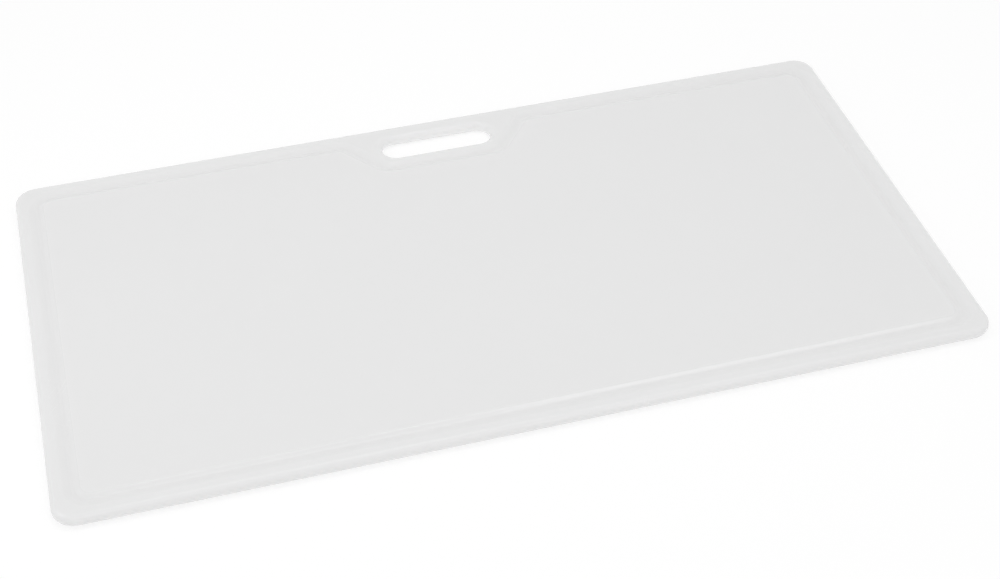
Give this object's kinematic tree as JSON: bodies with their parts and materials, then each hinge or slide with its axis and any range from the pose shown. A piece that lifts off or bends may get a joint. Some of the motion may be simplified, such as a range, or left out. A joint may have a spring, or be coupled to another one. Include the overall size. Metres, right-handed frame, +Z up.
{
  "type": "game processing board",
  "caption": "Large one-piece plastic cutting board for game, with a rounded raised rim, a juice groove all round and a hand slot in one long edge.",
  "frame": {"origin": "middle of the underside, on the surface that the board lies on", "axes": "+X along the length, +Y towards the long edge with the hand slot, +Z up out of the cutting surface"},
  "size_m": [0.914, 0.475, 0.0127],
  "materials": {
    "white_poly": "satin white polyethylene, smooth rim, fine matt grain on the cutting surface"
  },
  "bodies": {
    "root": {"board": "white_poly"}
  },
  "joints": []
}
